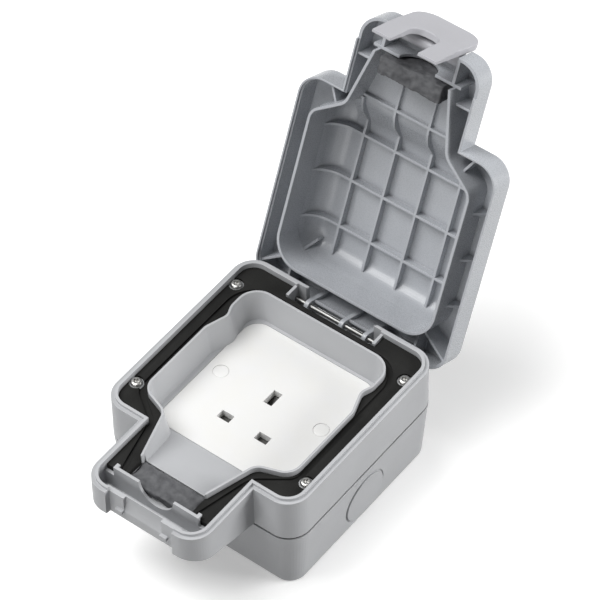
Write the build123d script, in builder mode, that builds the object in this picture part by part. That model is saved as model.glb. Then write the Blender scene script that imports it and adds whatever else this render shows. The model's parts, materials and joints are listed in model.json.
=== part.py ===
"""Outdoor weatherproof socket: wall box, hinged lid with a latch, and a three-pin socket.

Millimetres. The origin is the centre of the wall face, +Z points out of the wall,
+Y points to the hinge and the cable tongue reaches along -Y. The lid is modelled
closed and then swung open to its stop.
"""
import os
from math import atan, degrees, radians, tan

from build123d import *

os.makedirs("parts", exist_ok=True)

# Outline shared by the box, the frame and the lid
body_width = 114.0
body_length = 114.0
body_corner = 12.0
tongue_width = 68.0
tongue_reach = 42.6
tongue_corner = 12.0

# Back box
box_depth = 36.0
box_wall = 2.5
box_floor = 2.5
box_inset = 3.0
box_bottom_round = 1.5
knockout_diameter = 27.6
knockout_height = 16.0
knockout_rise = 0.5
knockout_skin = 1.0
knockout_groove = 1.0
pillar_diameter = 9.0
box_seal_inset = 0.6
wall_hole_spacing = 78.0
wall_hole_diameter = 5.2

# Front frame
box_seal_thickness = 1.5
frame_height = 25.5
frame_wall = 2.5
rim_step = 1.9
rim_lip_width = 1.5
rim_lip_height = 1.5
deck_drop = 4.5
deck_thickness = 2.5
tongue_front_height = 15.5

# Socket well and the neck that leads to the cable outlet
well_side_margin = 13.7
well_back_margin = 16.8
well_back_corner = 10.0
well_back_narrowing = 1.8
well_shoulder_margin = 17.2
well_waist_pinch = 4.1
well_waist_length = 12.0
well_waist_round = 6.0
well_shoulder_round = 8.0
well_neck_margin = 7.4
well_neck_run = 5.9
well_end_margin = 15.5
well_end_gap = 13.9
well_wall = 1.1
well_draft = 9.0
well_rise = 1.5
plate_depth = 17.1
window_side_step = 5.3
window_front_step = 2.5
window_back_step = 4.2
window_corner = 9.0
window_flange = 2.0
ramp_top_drop = 5.9
ramp_top_gap = 2.1
ramp_thickness = 2.4

# Cable outlet
pad_side_margin = 15.5
pad_length = 13.6
pad_height = 6.0
pad_gap = 0.2
pad_proud = 1.5
pad_round = 0.8
pad_lid_gap = 0.3
pad_seat_margin = 1.7
cross_wall = 1.5
cross_wall_margin = 9.0
cross_wall_setback = 13.1
cross_nub_place = 24.1
cross_nub = (1.8, 1.6, 1.2)
cable_arch_radius = 10.3
chamber_depth = 14.5

# Latch and its bay
latch_bay_half = 19.5
latch_bay_setback = 3.0
latch_scoop_half = 11.0
latch_scoop_depth = 1.9
latch_scoop_drop = 9.5
bay_wall_drop = 1.0
latch_width = 36.4
latch_thickness = 3.3
latch_tip_thickness = 1.4
latch_wedge_length = 20.0
latch_height = 44.0
latch_tip_drop = 16.7
latch_corner = 10.0
latch_notch_width = 15.6
latch_notch_depth = 22.5
latch_back_gap = 0.3
latch_barb = 1.5
latch_barb_height = 2.0
latch_barb_gap = 0.3
hook_half_width = 2.0
hook_place = 13.0
hook_drop = 9.5
hook_height = 1.8
hook_reach = 1.8
latch_pin_diameter = 2.5
latch_pin_rise = 10.0
latch_pin_setback = 5.6
latch_slot_setback = 4.2
latch_lug_thickness = 3.0
latch_lug_radius = 3.0
latch_lug_place = 15.5
latch_round = 0.6
latch_notch_round = 6.5
latch_swing_clear = 4.0

# Hinge
hinge_setback = 4.5
hinge_drop = 7.6
hinge_pin_diameter = 2.4
hinge_bay_half = 25.0
hinge_bay_depth = 10.5
hinge_bay_wall = 1.5
hinge_bay_drop = 6.9
hinge_gap_half = 20.2
hinge_arm_places = (-17.5, 3.3, 17.0)
hinge_arm_thickness = 2.2
hinge_eye_radius = 2.8
hinge_web_sag = 2.2
lid_open_angle = 113.0
running_clearance = 0.08

# Lid
lid_gap = 0.2
lid_skirt_height = 15.8
lid_wall = 1.6
lid_top = 2.0
lid_top_round = 2.5
lid_rear_relief = 1.6
dome_rise = 13.0
dome_front_step = 6.0
dome_corner = 12.0
dome_wall = 2.2
dome_draft = 8.0
dome_round = 9.0
lip_side_margin = 10.1
lip_back_margin = 14.0
lip_back_corner = 15.5
lip_shoulder_margin = 16.4
lip_shoulder_round = 8.0
lip_neck_margin = 4.1
lip_neck_run = 12.6
lip_end_margin = 12.1
lip_wall = 1.4
lip_gap = 0.2
rib_thickness = 1.3
rib_height = 4.5
neck_rib_height = 2.3
rib_skin = 1.0
rib_column_shares = (-0.624, -0.213, 0.213, 0.624)
rib_row_shares = (0.291, 0.0, -0.291)
neck_rib_gap = 7.4
rib_ramp_run = 10.0
gusset_thickness = 1.2
gusset_drop = 2.8
gusset_row_shares = (0.228, -0.009, -0.228)
gusset_column_margin = 19.0
gusset_column_reach = 2.0
gusset_shoulder_margin = (17.4, 5.3)
gusset_shoulder_length = 9.5
gusset_shoulder_turn = -61.0
gusset_corner_margin = (9.3, 12.4)
gusset_corner_length = 17.6
gusset_corner_turn = 35.0
gusset_tongue_margin = (5.4, 22.6)
gusset_tongue_length = 9.2
rim_rebate = 0.7
rim_rebate_height = 1.6

# Lid seal
seal_thickness = 3.0
seal_gap = 0.2
seal_groove_reach = 0.9
seal_groove_width = 2.9
seal_groove_depth = 1.2

# Fasteners
cover_screw_side = 6.6
cover_screw_end = 18.7
cover_screw_diameter = 3.5
cover_screw_head = 5.8
cover_screw_head_height = 2.0
cover_boss_diameter = 7.2
cover_boss_rise = 1.9
cover_boss_length = 24.0
pan_round_share = 0.6
cross_slot_share = 0.3
recess_share = 0.5
cover_screw_length = 34.0

# Three-pin socket
pin_spacing = 22.2
pin_row_y = -20.8
live_offset = 11.1
power_slot = (7.0, 4.8)
earth_slot = (4.8, 8.8)
plate_thickness = 4.0
plate_flange = 3.0
plate_gap = 0.2
fixing_centres = 60.3
fixing_y = -0.3
cap_diameter = 8.0
cap_thickness = 1.2
plate_screw_diameter = 3.5
plate_screw_head = 6.6
plate_screw_length = 16.0
plate_screw_head_height = 2.0
base_half_width = 24.0
base_front = -36.0
base_back = 19.0
base_depth = 23.0
shutter_depth = 3.4
shutter_travel = 5.6
shutter_thickness = 2.8
shutter_gap = 0.3
shutter_half_width = 16.0
shutter_front = -33.0
shutter_back = 8.0
shutter_window = (7.6, 5.4)
spring_place = 9.5
spring_radius = 1.1
spring_wire = 0.4
spring_turns = 5
spring_room = 9.0
spring_gap = 0.05
contact_wall = 0.8
contact_gap = 3.6
contact_width = 6.0
contact_height = 12.0
contact_floor = 5.6
contact_pocket_gap = 0.3
terminal_block = (7.0, 8.0, 8.0)
terminal_screw_diameter = 3.5
terminal_screw_head = 5.0
terminal_screw_head_height = 1.8
terminal_screw_length = 6.0
base_screw_place = 19.0
base_screw_y = -10.0
base_screw_diameter = 3.0
base_screw_bite = 2.5
base_screw_head = 5.0
base_screw_head_height = 1.8
base_corner = 4.0

# Levels and places that follow from the sizes above
frame_bottom = box_depth + box_seal_thickness
ledge = frame_bottom + frame_height
deck_top = ledge - deck_drop
deck_bottom = deck_top - deck_thickness
rim_inset = rim_step + rim_lip_width
well_top = ledge + well_rise
plate_face = well_top - plate_depth
plate_back = plate_face - plate_thickness
flange_bottom = plate_face - window_flange
body_half = body_width / 2
body_front = -body_length / 2
tongue_front = body_front - tongue_reach
tongue_half = tongue_width / 2
cross_wall_y = -tongue_front - cross_wall_setback
cross_wall_half = tongue_half - cross_wall_margin
well_half_width = body_half - well_side_margin
well_back = body_length / 2 - well_back_margin
well_back_half = well_half_width - well_back_narrowing
well_waist_half = well_half_width - well_waist_pinch
well_shoulder = body_length / 2 - well_shoulder_margin
well_neck_half = tongue_half - well_neck_margin
well_neck_start = well_shoulder + well_neck_run
well_end_half = tongue_half - well_end_margin
well_end = cross_wall_y - well_end_gap
window_half_width = well_half_width - window_side_step
window_front = well_shoulder + window_front_step
window_back = well_back - window_back_step
ramp_top = well_end - ramp_top_gap
pad_half_width = tongue_half - pad_side_margin
hinge_y = body_length / 2 - hinge_setback
hinge_z = ledge - hinge_drop
hinge_bay_front = body_length / 2 - hinge_bay_depth
hinge_bay_floor = hinge_z - hinge_bay_drop
box_draft = degrees(atan(box_inset / box_depth))
seal_face = deck_top + seal_thickness
tongue_underside = ledge - tongue_front_height
ramp_height = well_top - ramp_top_drop
pad_back = -(cross_wall_y - cross_wall - pad_gap - pad_length)
pad_front = pad_back - pad_length
pad_face = deck_top + pad_proud
pad_floor = pad_face - pad_height
chamber_floor = well_top - chamber_depth
bay_front = tongue_front + latch_bay_setback
bay_back = bay_front + frame_wall
bay_wall_top = ledge - bay_wall_drop
pin_sites = ((-live_offset, pin_row_y), (live_offset, pin_row_y), (0, pin_row_y + pin_spacing))
base_screw_sites = ((-base_screw_place, base_screw_y), (base_screw_place, base_screw_y))
base_bottom = plate_back - base_depth
contact_seat = base_bottom + contact_floor
shutter_floor = plate_back - shutter_depth
spring_end = shutter_back + spring_room
terminal_place = (contact_width + terminal_block[0]) / 2
fixing_sites = ((-fixing_centres / 2, fixing_y), (fixing_centres / 2, fixing_y))
cover_screw_x = body_half - cover_screw_side
cover_screw_y = body_length / 2 - cover_screw_end
cover_sites = [(x, y) for x in (-cover_screw_x, cover_screw_x) for y in (-cover_screw_y, cover_screw_y)]

lid_rim = ledge + lid_gap
shelf_top = ledge + lid_skirt_height
shelf_bottom = shelf_top - lid_top
lip_bottom = seal_face - seal_groove_depth + lip_gap
cross_wall_rim = well_top + lip_gap + lid_gap
dome_top = shelf_top + dome_rise
dome_floor = dome_top - dome_wall
lip_half_width = body_half - lip_side_margin
lip_back = body_length / 2 - lip_back_margin
lip_shoulder = body_length / 2 - lip_shoulder_margin
lip_neck_half = tongue_half - lip_neck_margin
lip_neck_start = lip_shoulder + lip_neck_run
lip_end_half = tongue_half - lip_end_margin
dome_half = lip_half_width - lip_wall
dome_back = lip_back - lip_wall
dome_front = -(lip_shoulder + dome_front_step)
dome_length = dome_back - dome_front
dome_middle = (dome_back + dome_front) / 2
slant_gussets = (
    (
        body_half - gusset_shoulder_margin[0],
        body_front + gusset_shoulder_margin[1],
        gusset_shoulder_length,
        gusset_shoulder_turn,
    ),
    (
        body_half - gusset_corner_margin[0],
        body_length / 2 - gusset_corner_margin[1],
        gusset_corner_length,
        gusset_corner_turn,
    ),
    (
        tongue_half - gusset_tongue_margin[0],
        tongue_front + gusset_tongue_margin[1],
        gusset_tongue_length,
        0.0,
    ),
)
neck_rib_bottom = shelf_bottom - neck_rib_height
rib_columns = [share * dome_half for share in rib_column_shares]
rib_rows = [dome_middle + share * dome_length for share in rib_row_shares]
neck_rib_row = dome_front - neck_rib_gap
latch_pin_y = tongue_front + latch_pin_setback
latch_pin_z = ledge + latch_pin_rise
latch_slot_back = tongue_front + latch_slot_setback
latch_back = bay_front - hook_reach - latch_back_gap
latch_tip = ledge - latch_tip_drop
hook_bottom = ledge - hook_drop - hook_height

hinge_axis = Axis((0, hinge_y, hinge_z), (1, 0, 0))
latch_axis = Axis((0, latch_pin_y, latch_pin_z), (1, 0, 0))


def body_square(inset=0.0, mode=Mode.ADD):
    """Square body outline, drawn in the current sketch."""
    RectangleRounded(body_width - 2 * inset, body_length - 2 * inset, body_corner - inset, mode=mode)


def body_outline(inset=0.0):
    """Square body with its cable tongue, drawn in the current sketch."""
    body_square(inset)
    with Locations((0, (tongue_front + inset) / 2)):
        RectangleRounded(tongue_width - 2 * inset, -tongue_front - inset, tongue_corner - inset)


def bottle_outline(corners, radii, end_half, end):
    """Closed bottle shape about the Y axis from the right-hand corners, drawn in the current sketch."""
    back = corners[0][1]
    with BuildLine() as edge:
        FilletPolyline((0, back), *corners, (end_half, -end), radius=radii)
        Line((end_half, -end), (0, -end))
        mirror(about=Plane.YZ)
    make_face(edge.edges())


def well_outline(grow=0.0):
    """Inner edge of the socket well with its waist and neck."""
    waist_back = well_back - well_back_corner - well_waist_length
    corners = [
        (well_back_half, well_back),
        (well_back_half, waist_back + well_waist_length / 2),
        (well_waist_half, waist_back),
        (well_half_width, waist_back - well_waist_length),
        (well_half_width, -well_shoulder),
        (well_neck_half, -well_neck_start),
    ]
    round_ = well_shoulder_round
    radii = [well_back_corner, round_, well_waist_round, well_waist_round, round_, round_]
    bottle_outline(corners, radii, well_end_half, well_end)
    if grow:
        offset(amount=grow)


def lip_outline(inset=0.0):
    """Outer edge of the lid's sealing lip."""
    corners = [
        (lip_half_width, lip_back),
        (lip_half_width, -lip_shoulder),
        (lip_neck_half, -lip_neck_start),
    ]
    radii = [lip_back_corner, lip_shoulder_round, lip_shoulder_round]
    bottle_outline(corners, radii, lip_end_half, cross_wall_y)
    if inset:
        offset(amount=-inset)


def dome_outline(grow=0.0):
    """Plan of the lid's dome, drawn in the current sketch."""
    RectangleRounded(2 * (dome_half + grow), dome_length + 2 * grow, dome_corner + grow)


def window_outline(grow=0.0):
    """Plan of the socket window in the floor of the well, drawn in the current sketch."""
    with Locations((0, (window_back - window_front) / 2)):
        RectangleRounded(
            2 * (window_half_width + grow), window_back + window_front + 2 * grow, window_corner + grow
        )


def save(piece, name):
    """Label a finished piece and write its STEP file."""
    piece.label = name
    export_step(piece, f"parts/{name}.step")


# Back box
with BuildPart() as back_box:
    with BuildSketch(Plane.XY.offset(box_depth)):
        body_square()
    extrude(amount=-box_depth, taper=box_draft)
    fillet(back_box.faces().sort_by(Axis.Z)[0].edges(), box_bottom_round)
    with BuildSketch(Plane.XY.offset(box_depth)):
        body_square(box_wall)
    extrude(amount=-(box_depth - box_floor), taper=box_draft, mode=Mode.SUBTRACT)

    # Knockouts: a raised disc in a groove on each drafted wall, thinned from inside
    wall_lean = radians(box_draft)
    wall_shift = (box_depth - knockout_height) * tan(wall_lean)
    for turn, span in ((0, body_width), (90, body_length), (180, body_width), (270, body_length)):
        lean = Vector(1, 0, -tan(wall_lean)).rotate(Axis.Z, turn)
        face_centre = Vector(span / 2 - wall_shift, 0, knockout_height).rotate(Axis.Z, turn)
        wall_plane = Plane(origin=face_centre, z_dir=lean)
        with BuildSketch(wall_plane):
            Circle(knockout_diameter / 2)
        extrude(amount=knockout_rise)
        with BuildSketch(wall_plane):
            Circle(knockout_diameter / 2 + knockout_groove)
            Circle(knockout_diameter / 2, mode=Mode.SUBTRACT)
        extrude(amount=-knockout_rise, mode=Mode.SUBTRACT)
        with BuildSketch(wall_plane.offset(-knockout_skin)):
            Circle(knockout_diameter / 2 - knockout_groove)
        extrude(amount=-box_wall, mode=Mode.SUBTRACT)

    # Corner bosses for the cover screws, and two pillars for the socket
    with BuildSketch(Plane.XY.offset(box_depth)):
        with Locations(*cover_sites):
            Circle(cover_boss_diameter / 2)
    extrude(amount=-cover_boss_length)
    with BuildSketch(Plane.XY.offset(box_floor)):
        with Locations(*fixing_sites):
            Circle(pillar_diameter / 2)
    extrude(amount=plate_back - box_floor)
    with Locations(*[(x, y, box_depth) for x, y in cover_sites]):
        Hole(cover_screw_diameter / 2, cover_boss_length - box_floor)
    with Locations(*[(x, y, plate_back) for x, y in fixing_sites]):
        Hole(plate_screw_diameter / 2, plate_screw_length)
    with GridLocations(wall_hole_spacing, wall_hole_spacing, 2, 2):
        Hole(wall_hole_diameter / 2, box_depth)
save(back_box.part, "back_box")

with BuildPart() as box_seal:
    with BuildSketch(Plane.XY.offset(box_depth)):
        body_square(box_seal_inset)
        body_square(box_wall, Mode.SUBTRACT)
        with Locations(*cover_sites):
            Circle((cover_boss_diameter + box_wall) / 2)
            Circle(cover_screw_diameter / 2 + pad_gap, mode=Mode.SUBTRACT)
    extrude(amount=box_seal_thickness)
save(box_seal.part, "box_seal")

# Front frame: the hollow of the socket well, then its shell, then the whole moulding
with BuildPart() as well_hollow:
    with BuildSketch(Plane.XY.offset(well_top)):
        well_outline()
    extrude(amount=-plate_depth, taper=well_draft)
    with BuildSketch(Plane.YZ):
        with BuildLine():
            Polyline(
                (-window_front, plate_face),
                (-ramp_top, ramp_height),
                (-cross_wall_y, ramp_height),
                (-cross_wall_y, frame_bottom),
                (-window_front, frame_bottom),
                close=True,
            )
        make_face()
    extrude(amount=body_half, both=True, mode=Mode.SUBTRACT)

with BuildPart() as well_shell:
    with BuildSketch(Plane.XY.offset(flange_bottom)):
        well_outline(well_wall)
    extrude(amount=well_top - flange_bottom)
    with BuildSketch(Plane.YZ):
        with BuildLine():
            Polyline(
                (-window_front - window_flange, flange_bottom),
                (-ramp_top, ramp_height - ramp_thickness),
                (-cross_wall_y, ramp_height - ramp_thickness),
                (-cross_wall_y, flange_bottom),
                close=True,
            )
        make_face()
    extrude(amount=body_half, both=True, mode=Mode.SUBTRACT)

with BuildPart() as front_frame:
    # Outer wall up to the ledge, and the raised lip inside it
    with BuildSketch(Plane.XY.offset(frame_bottom)):
        body_outline()
    extrude(amount=frame_height)
    with BuildSketch(Plane.XY.offset(ledge)):
        body_outline(rim_step)
    extrude(amount=rim_lip_height)
    with BuildSketch(Plane.XY.offset(deck_top)):
        body_outline(rim_inset)
    extrude(amount=deck_drop + rim_lip_height, mode=Mode.SUBTRACT)

    # Underside: hollow body and tongue, and the tongue's sloping lower edge
    tongue_hollow = cross_wall_y - cross_wall + body_front
    with BuildSketch(Plane.XY.offset(frame_bottom)):
        body_square(frame_wall)
        with Locations((0, body_front - tongue_hollow / 2)):
            Rectangle(tongue_width - 2 * frame_wall, tongue_hollow)
    extrude(amount=deck_bottom - frame_bottom, mode=Mode.SUBTRACT)
    with BuildSketch(Plane.YZ):
        with BuildLine():
            Polyline(
                (body_front, frame_bottom),
                (tongue_front, tongue_underside),
                (tongue_front, frame_bottom),
                close=True,
            )
        make_face()
    extrude(amount=tongue_half, both=True, mode=Mode.SUBTRACT)

    # Hinge bay: a box behind the well, with a narrower opening to the back
    with BuildSketch(Plane.XY.offset(hinge_bay_floor - hinge_bay_wall)):
        with Locations((0, (hinge_bay_front - hinge_bay_wall + body_length / 2 - frame_wall) / 2)):
            Rectangle(
                2 * (hinge_bay_half + hinge_bay_wall),
                body_length / 2 - frame_wall - hinge_bay_front + hinge_bay_wall,
            )
    extrude(amount=deck_top - hinge_bay_floor + hinge_bay_wall)
    with BuildSketch(Plane.XY.offset(deck_top)):
        with Locations((0, (hinge_bay_front + body_length / 2 - frame_wall) / 2)):
            Rectangle(2 * (hinge_bay_half + hinge_bay_wall), body_length / 2 - frame_wall - hinge_bay_front)
    extrude(amount=deck_drop)
    with BuildSketch(Plane.XY.offset(hinge_bay_floor)):
        with Locations((0, (hinge_bay_front + body_length / 2 - frame_wall) / 2)):
            Rectangle(2 * hinge_bay_half, body_length / 2 - frame_wall - hinge_bay_front)
        with Locations((0, body_length / 2 - frame_wall)):
            Rectangle(2 * hinge_gap_half, 2 * frame_wall)
    extrude(amount=well_top - hinge_bay_floor, mode=Mode.SUBTRACT)
    with Locations(Location((0, hinge_y, hinge_z), (0, 90, 0))):
        Cylinder(hinge_pin_diameter / 2, 2 * (hinge_bay_half + hinge_bay_wall), mode=Mode.SUBTRACT)

    # Socket well with its window and ramp
    add(well_shell.part)
    with BuildSketch(Plane.XY.offset(pad_floor - ramp_thickness)):
        with Locations((0, (pad_back + pad_seat_margin - cross_wall_y) / 2)):
            Rectangle(2 * (pad_half_width + pad_seat_margin), cross_wall_y + pad_back + pad_seat_margin)
    extrude(amount=deck_top - pad_floor + ramp_thickness)
    add(well_hollow.part, mode=Mode.SUBTRACT)
    with BuildSketch(Plane.XY.offset(plate_face)):
        window_outline()
    extrude(amount=-plate_depth, mode=Mode.SUBTRACT)

    # Cable outlet: pad pocket, cross wall with its arch, and the chamber in front
    with BuildSketch(Plane.XY.offset(pad_floor)):
        with Locations((0, (pad_front + pad_back) / 2)):
            Rectangle(2 * (pad_half_width + pad_gap), pad_length + 2 * pad_gap)
    extrude(amount=well_top - pad_floor, mode=Mode.SUBTRACT)
    with BuildSketch(Plane.XY.offset(pad_floor)):
        with Locations((0, -cross_wall_y + cross_wall / 2)):
            Rectangle(2 * cross_wall_half, cross_wall)
    extrude(amount=well_top - pad_floor)
    with BuildSketch(Plane.XZ.offset(cross_wall_y)):
        with Locations((0, well_top)):
            Circle(cable_arch_radius)
    extrude(amount=-cross_wall, mode=Mode.SUBTRACT)
    for side in (-1, 1):
        nub_y = -cross_wall_y + cross_wall + cross_nub[1] / 2
        with Locations((side * cross_nub_place, nub_y, well_top)):
            Box(*cross_nub, align=(Align.CENTER, Align.CENTER, Align.MAX))
    with BuildSketch(Plane.XY.offset(chamber_floor)):
        body_outline(rim_inset)
        with Locations((0, (tongue_front - cross_wall_y) / 2)):
            Rectangle(tongue_width, -cross_wall_y - tongue_front, mode=Mode.INTERSECT)
    extrude(amount=deck_top - chamber_floor, mode=Mode.SUBTRACT)

    # Latch bay: set-back wall scooped for a finger, and two hooks
    with BuildSketch(Plane.XY.offset(chamber_floor)):
        with Locations((0, (tongue_front + bay_back) / 2)):
            Rectangle(2 * (latch_bay_half + frame_wall), bay_back - tongue_front)
    extrude(amount=bay_wall_top - chamber_floor)
    with BuildSketch(Plane.XY.offset(frame_bottom)):
        with Locations((0, (tongue_front + bay_front) / 2)):
            Rectangle(2 * latch_bay_half, latch_bay_setback)
    extrude(amount=well_top - frame_bottom, mode=Mode.SUBTRACT)
    with BuildSketch(Plane.XY.offset(bay_wall_top)):
        with Locations((0, (tongue_front + bay_back) / 2)):
            Rectangle(2 * latch_bay_half, bay_back - tongue_front)
    extrude(amount=well_top - bay_wall_top, mode=Mode.SUBTRACT)
    scoop_radius = (latch_scoop_depth**2 + latch_scoop_drop**2) / (2 * latch_scoop_depth)
    scoop_y = bay_front + latch_scoop_depth - scoop_radius
    with Locations(Location((0, scoop_y, bay_wall_top), (0, 90, 0))):
        Cylinder(scoop_radius, 2 * latch_scoop_half, mode=Mode.SUBTRACT)
    with BuildSketch(Plane.XZ.offset(-bay_front)):
        with Locations(*[(side * hook_place, hook_bottom + hook_height / 2) for side in (-1, 1)]):
            Rectangle(2 * hook_half_width, hook_height)
    extrude(amount=hook_reach)

    # Cover-screw bosses above and below the deck
    with BuildSketch(Plane.XY.offset(frame_bottom)):
        with Locations(*cover_sites):
            Circle(cover_boss_diameter / 2)
    extrude(amount=deck_top + cover_boss_rise - frame_bottom)
    with Locations(*[(x, y, deck_top + cover_boss_rise) for x, y in cover_sites]):
        Hole(cover_screw_diameter / 2 + running_clearance, frame_height)
save(front_frame.part, "front_frame")

with BuildPart() as lid_seal:
    with BuildSketch(mode=Mode.PRIVATE) as well_plan:
        well_outline(well_wall + seal_gap)
    with BuildSketch(Plane.XY.offset(deck_top)):
        body_outline(rim_inset + seal_gap)
        add(well_plan.sketch, mode=Mode.SUBTRACT)
        with Locations((0, hinge_bay_front + body_length / 2)):
            bay_clear_half = hinge_bay_half + hinge_bay_wall + seal_gap
            Rectangle(2 * bay_clear_half, body_length + 2 * seal_gap, mode=Mode.SUBTRACT)
        with Locations((0, pad_front - tongue_width)):
            Rectangle(2 * tongue_width, 2 * tongue_width, mode=Mode.SUBTRACT)
        with Locations((0, pad_back + pad_gap - tongue_width)):
            Rectangle(2 * (pad_half_width + 2 * pad_gap), 2 * tongue_width, mode=Mode.SUBTRACT)
        with Locations(*cover_sites):
            Circle(cover_boss_diameter / 2 + seal_gap, mode=Mode.SUBTRACT)
    extrude(amount=seal_thickness)
    with BuildSketch(mode=Mode.PRIVATE) as groove_inside:
        lip_outline(seal_groove_width - seal_groove_reach)
    with BuildSketch(Plane.XY.offset(seal_face)):
        lip_outline(-seal_groove_reach)
        add(groove_inside.sketch, mode=Mode.SUBTRACT)
    extrude(amount=-seal_groove_depth, mode=Mode.SUBTRACT)
save(lid_seal.part, "lid_seal")

with BuildPart() as lower_cable_pad:
    with BuildSketch(Plane.XY.offset(pad_floor)):
        with Locations((0, (pad_front + pad_back) / 2)):
            Rectangle(2 * pad_half_width, pad_length)
    extrude(amount=pad_height)
    fillet(lower_cable_pad.faces().sort_by(Axis.Z)[-1].edges(), pad_round)
save(lower_cable_pad.part, "lower_cable_pad")

with BuildPart() as hinge_pin:
    with BuildSketch(Plane.YZ.offset(-hinge_bay_half - hinge_bay_wall)):
        with Locations((hinge_y, hinge_z)):
            Circle(hinge_pin_diameter / 2)
    extrude(amount=2 * (hinge_bay_half + hinge_bay_wall))
save(hinge_pin.part, "hinge_pin")


def pan_screw(head, head_height, shank, length):
    """Cross-slotted pan-head screw in the current part, head up and seated at the origin."""
    recess = head * recess_share
    Cylinder(head / 2, head_height, align=(Align.CENTER, Align.CENTER, Align.MIN))
    top_edge = faces().sort_by(Axis.Z)[-1].edges()
    fillet(top_edge, head_height * pan_round_share)
    Cylinder(shank / 2, length, align=(Align.CENTER, Align.CENTER, Align.MAX))
    with BuildSketch(Plane.XY.offset(head_height)) as cross:
        Rectangle(recess, recess * cross_slot_share)
        Rectangle(recess * cross_slot_share, recess)
    extrude(cross.sketch, amount=-head_height / 2, mode=Mode.SUBTRACT)


with BuildPart() as cover_screw:
    pan_screw(cover_screw_head, cover_screw_head_height, cover_screw_diameter, cover_screw_length)
for number, (x, y) in enumerate(cover_sites, start=1):
    save(cover_screw.part.moved(Location((x, y, deck_top + cover_boss_rise))), f"cover_screw_{number}")

# Lid, modelled closed
with BuildPart() as dome_hollow:
    with BuildSketch(Plane.XY.offset(shelf_bottom)):
        with Locations((0, dome_middle)):
            dome_outline()
    extrude(amount=dome_floor - shelf_bottom, taper=dome_draft)
    fillet(dome_hollow.faces().sort_by(Axis.Z)[-1].edges(), dome_round)

with BuildPart() as rib_plates:
    with BuildSketch(Plane.XY.offset(dome_floor - rib_height)):
        with Locations(*[(x, dome_middle) for x in rib_columns]):
            Rectangle(rib_thickness, dome_length + 2 * rib_skin)
        with Locations(*[(0, y) for y in rib_rows]):
            Rectangle(2 * (dome_half + rib_skin), rib_thickness)
    extrude(amount=rib_height + dome_wall)
    for x in rib_columns[1:3]:
        with BuildSketch(Plane.YZ.offset(x - rib_thickness / 2)):
            with BuildLine():
                Polyline(
                    (dome_front - rib_skin, neck_rib_bottom),
                    (dome_front, neck_rib_bottom),
                    (dome_front + rib_ramp_run, dome_floor - rib_height),
                    (dome_front + rib_ramp_run, dome_top),
                    (dome_front - rib_skin, dome_top),
                    close=True,
                )
            make_face()
        extrude(amount=rib_thickness)

with BuildPart() as dome_ribs:
    with BuildSketch(Plane.XY.offset(neck_rib_bottom)):
        with Locations((0, dome_middle)):
            dome_outline(rib_skin)
    extrude(amount=dome_floor + rib_skin - neck_rib_bottom, taper=dome_draft)
    fillet(dome_ribs.faces().sort_by(Axis.Z)[-1].edges(), dome_round)
    add(rib_plates.part, mode=Mode.INTERSECT)

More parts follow.
